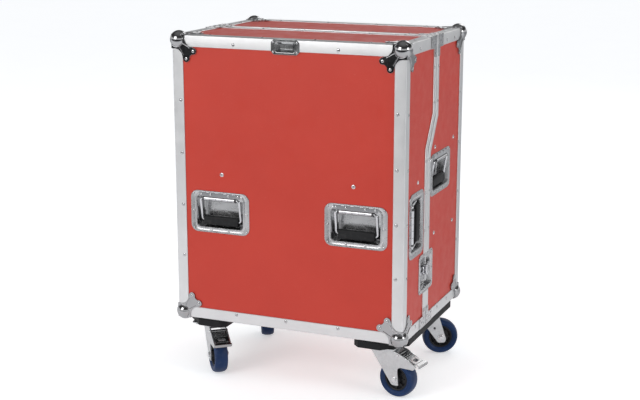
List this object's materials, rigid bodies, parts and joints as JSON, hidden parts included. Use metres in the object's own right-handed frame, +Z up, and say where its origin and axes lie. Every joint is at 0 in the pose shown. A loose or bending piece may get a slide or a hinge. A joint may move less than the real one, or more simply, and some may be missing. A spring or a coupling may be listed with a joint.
{
  "type": "fire extinguisher flight case",
  "caption": "Road case on swivel casters that carries upright fire extinguishers: the front cover pulls off a stepped closure line, with sprung handles and twist latches",
  "frame": {"origin": "on the floor, under the centre of the whole outline with its casters turned as in the picture; the case box is centred at x -0.015, y 0.009", "axes": "+Z up, the front cover faces -Y, the right side is +X"},
  "size_m": [0.6942, 0.5165, 0.9299],
  "materials": {
    "red_panel": "plywood faced in red phenolic laminate, fine pebbled, satin",
    "aluminium_profile": "satin anodised extrusion, riveted",
    "ball_corner_steel": "pressed steel, bright plated, darkened in the folds",
    "dish_steel": "pressed steel, plated, lightly brushed",
    "bail_and_grip": "plated steel bar with a black grip moulded round it",
    "latch_steel": "plated steel",
    "black_board": "plywood painted matt black",
    "zinc_steel": "pressed steel, bright zinc plated",
    "wheel_centre": "black moulded polyamide",
    "blue_tyre": "blue elastic rubber, satin",
    "inner_wood": "bare birch plywood"
  },
  "bodies": {
    "rear_half": {"rear_shell": "red_panel", "rear_frame": "aluminium_profile", "ball_corner_rear_left_top": "ball_corner_steel", "ball_corner_rear_left_bottom": "ball_corner_steel", "ball_corner_rear_right_top": "ball_corner_steel", "ball_corner_rear_right_bottom": "ball_corner_steel", "rear_left_handle_dish": "dish_steel", "rear_right_handle_dish": "dish_steel", "latch_dish_left": "dish_steel", "latch_dish_right": "dish_steel", "skid_board_left": "black_board", "skid_board_right": "black_board", "front_left_caster_plate": "zinc_steel", "front_right_caster_plate": "zinc_steel", "rear_left_caster_plate": "zinc_steel", "rear_right_caster_plate": "zinc_steel", "base_cradle": "inner_wood", "rear_lower_shelf": "inner_wood", "rear_upper_shelf": "inner_wood"},
    "cover": {"cover_shell": "red_panel", "cover_frame": "aluminium_profile", "ball_corner_front_left_top": "ball_corner_steel", "ball_corner_front_left_bottom": "ball_corner_steel", "ball_corner_front_right_top": "ball_corner_steel", "ball_corner_front_right_bottom": "ball_corner_steel", "front_left_handle_dish": "dish_steel", "front_right_handle_dish": "dish_steel", "cover_left_handle_dish": "dish_steel", "cover_right_handle_dish": "dish_steel", "keeper_dish_left": "dish_steel", "keeper_dish_right": "dish_steel", "finger_pull_dish": "dish_steel", "cover_shelf": "inner_wood"},
    "front_left_handle": {"front_left_handle_bail": "bail_and_grip"},
    "front_right_handle": {"front_right_handle_bail": "bail_and_grip"},
    "cover_left_handle": {"cover_left_handle_bail": "bail_and_grip"},
    "cover_right_handle": {"cover_right_handle_bail": "bail_and_grip"},
    "rear_left_handle": {"rear_left_handle_bail": "bail_and_grip"},
    "rear_right_handle": {"rear_right_handle_bail": "bail_and_grip"},
    "latch_spindle_left": {"latch_spindle_left": "latch_steel"},
    "latch_wing_left": {"latch_wing_left": "latch_steel"},
    "latch_hook_left": {"latch_hook_left": "latch_steel"},
    "latch_spindle_right": {"latch_spindle_right": "latch_steel"},
    "latch_wing_right": {"latch_wing_right": "latch_steel"},
    "latch_hook_right": {"latch_hook_right": "latch_steel"},
    "front_left_fork": {"front_left_fork": "zinc_steel"},
    "front_left_wheel": {"front_left_wheel_rim": "wheel_centre", "front_left_tyre": "blue_tyre"},
    "front_left_brake_pedal": {"front_left_brake_pedal": "zinc_steel"},
    "front_right_fork": {"front_right_fork": "zinc_steel"},
    "front_right_wheel": {"front_right_wheel_rim": "wheel_centre", "front_right_tyre": "blue_tyre"},
    "front_right_brake_pedal": {"front_right_brake_pedal": "zinc_steel"},
    "rear_left_fork": {"rear_left_fork": "zinc_steel"},
    "rear_left_wheel": {"rear_left_wheel_rim": "wheel_centre", "rear_left_tyre": "blue_tyre"},
    "rear_right_fork": {"rear_right_fork": "zinc_steel"},
    "rear_right_wheel": {"rear_right_wheel_rim": "wheel_centre", "rear_right_tyre": "blue_tyre"}
  },
  "joints": [
    {"name": "cover_pulls_off", "type": "slide", "parent": "rear_half", "child": "cover", "axis": [0, -1, 0], "range_m": [0, 0.36]},
    {"name": "front_left_handle_swing", "type": "hinge", "parent": "cover", "child": "front_left_handle", "pos_m": [-0.206, -0.2279, 0.494], "axis": [-1, 0, 0], "range_deg": [0, 90], "stiffness_Nm_per_rad": 0.15, "springref_deg": -17.19},
    {"name": "front_right_handle_swing", "type": "hinge", "parent": "cover", "child": "front_right_handle", "pos_m": [0.176, -0.2279, 0.494], "axis": [-1, 0, 0], "range_deg": [0, 90], "stiffness_Nm_per_rad": 0.15, "springref_deg": -17.19},
    {"name": "cover_left_handle_swing", "type": "hinge", "parent": "cover", "child": "cover_left_handle", "pos_m": [-0.3339, -0.167, 0.454], "axis": [0, 0, 1], "range_deg": [0, 90], "stiffness_Nm_per_rad": 0.15, "springref_deg": -17.19},
    {"name": "cover_right_handle_swing", "type": "hinge", "parent": "cover", "child": "cover_right_handle", "pos_m": [0.3039, -0.167, 0.454], "axis": [0, 0, -1], "range_deg": [0, 90], "stiffness_Nm_per_rad": 0.15, "springref_deg": -17.19},
    {"name": "rear_left_handle_swing", "type": "hinge", "parent": "rear_half", "child": "rear_left_handle", "pos_m": [-0.3339, 0.06, 0.592], "axis": [0, 1, 0], "range_deg": [0, 90], "stiffness_Nm_per_rad": 0.15, "springref_deg": -17.19},
    {"name": "rear_right_handle_swing", "type": "hinge", "parent": "rear_half", "child": "rear_right_handle", "pos_m": [0.3039, 0.06, 0.592], "axis": [0, -1, 0], "range_deg": [0, 90], "stiffness_Nm_per_rad": 0.15, "springref_deg": -17.19},
    {"name": "latch_left_twist", "type": "hinge", "parent": "rear_half", "child": "latch_spindle_left", "pos_m": [-0.3327, -0.032, 0.308], "axis": [-1, 0, 0], "range_deg": [0, 180]},
    {"name": "latch_left_wing_fold", "type": "hinge", "parent": "latch_spindle_left", "child": "latch_wing_left", "pos_m": [-0.3305, -0.032, 0.308], "axis": [0, 0, 1], "range_deg": [0, 90]},
    {"name": "latch_left_hook_draw", "type": "slide", "parent": "rear_half", "child": "latch_hook_left", "axis": [0, -1, 0], "range_m": [0, 0.008]},
    {"name": "latch_right_twist", "type": "hinge", "parent": "rear_half", "child": "latch_spindle_right", "pos_m": [0.3027, -0.032, 0.308], "axis": [1, 0, 0], "range_deg": [0, 180]},
    {"name": "latch_right_wing_fold", "type": "hinge", "parent": "latch_spindle_right", "child": "latch_wing_right", "pos_m": [0.3005, -0.032, 0.308], "axis": [0, 0, -1], "range_deg": [0, 90]},
    {"name": "latch_right_hook_draw", "type": "slide", "parent": "rear_half", "child": "latch_hook_right", "axis": [0, -1, 0], "range_m": [0, 0.008]},
    {"name": "front_left_swivel", "type": "hinge", "parent": "rear_half", "child": "front_left_fork", "pos_m": [-0.265, -0.159, 0.1291], "axis": [0, 0, 1], "continuous": true},
    {"name": "front_left_roll", "type": "hinge", "parent": "front_left_fork", "child": "front_left_wheel", "pos_m": [-0.23929, -0.18964, 0.05], "axis": [0.766, 0.6428, 0], "continuous": true},
    {"name": "front_left_brake", "type": "hinge", "parent": "front_left_fork", "child": "front_left_brake_pedal", "pos_m": [-0.23415, -0.19577, 0.118], "axis": [0.766, 0.6428, 0], "range_deg": [0, 14]},
    {"name": "front_right_swivel", "type": "hinge", "parent": "rear_half", "child": "front_right_fork", "pos_m": [0.235, -0.159, 0.1291], "axis": [0, 0, 1], "continuous": true},
    {"name": "front_right_roll", "type": "hinge", "parent": "front_right_fork", "child": "front_right_wheel", "pos_m": [0.27439, -0.16595, 0.05], "axis": [0.1736, 0.9848, 0], "continuous": true},
    {"name": "front_right_brake", "type": "hinge", "parent": "front_right_fork", "child": "front_right_brake_pedal", "pos_m": [0.28227, -0.16734, 0.118], "axis": [0.1736, 0.9848, 0], "range_deg": [0, 14]},
    {"name": "rear_left_swivel", "type": "hinge", "parent": "rear_half", "child": "rear_left_fork", "pos_m": [-0.265, 0.177, 0.1291], "axis": [0, 0, 1], "continuous": true},
    {"name": "rear_left_roll", "type": "hinge", "parent": "rear_left_fork", "child": "rear_left_wheel", "pos_m": [-0.24622, 0.14168, 0.05], "axis": [0.8829, 0.4695, 0], "continuous": true},
    {"name": "rear_right_swivel", "type": "hinge", "parent": "rear_half", "child": "rear_right_fork", "pos_m": [0.235, 0.177, 0.1291], "axis": [0, 0, 1], "continuous": true},
    {"name": "rear_right_roll", "type": "hinge", "parent": "rear_right_fork", "child": "rear_right_wheel", "pos_m": [0.27125, 0.1939, 0.05], "axis": [-0.4226, 0.9063, 0], "continuous": true}
  ],
  "couplings": [
    {"joint": "latch_left_hook_draw", "follows": "latch_left_twist", "m_per_rad": 0.0025465},
    {"joint": "latch_right_hook_draw", "follows": "latch_right_twist", "m_per_rad": 0.0025465}
  ]
}
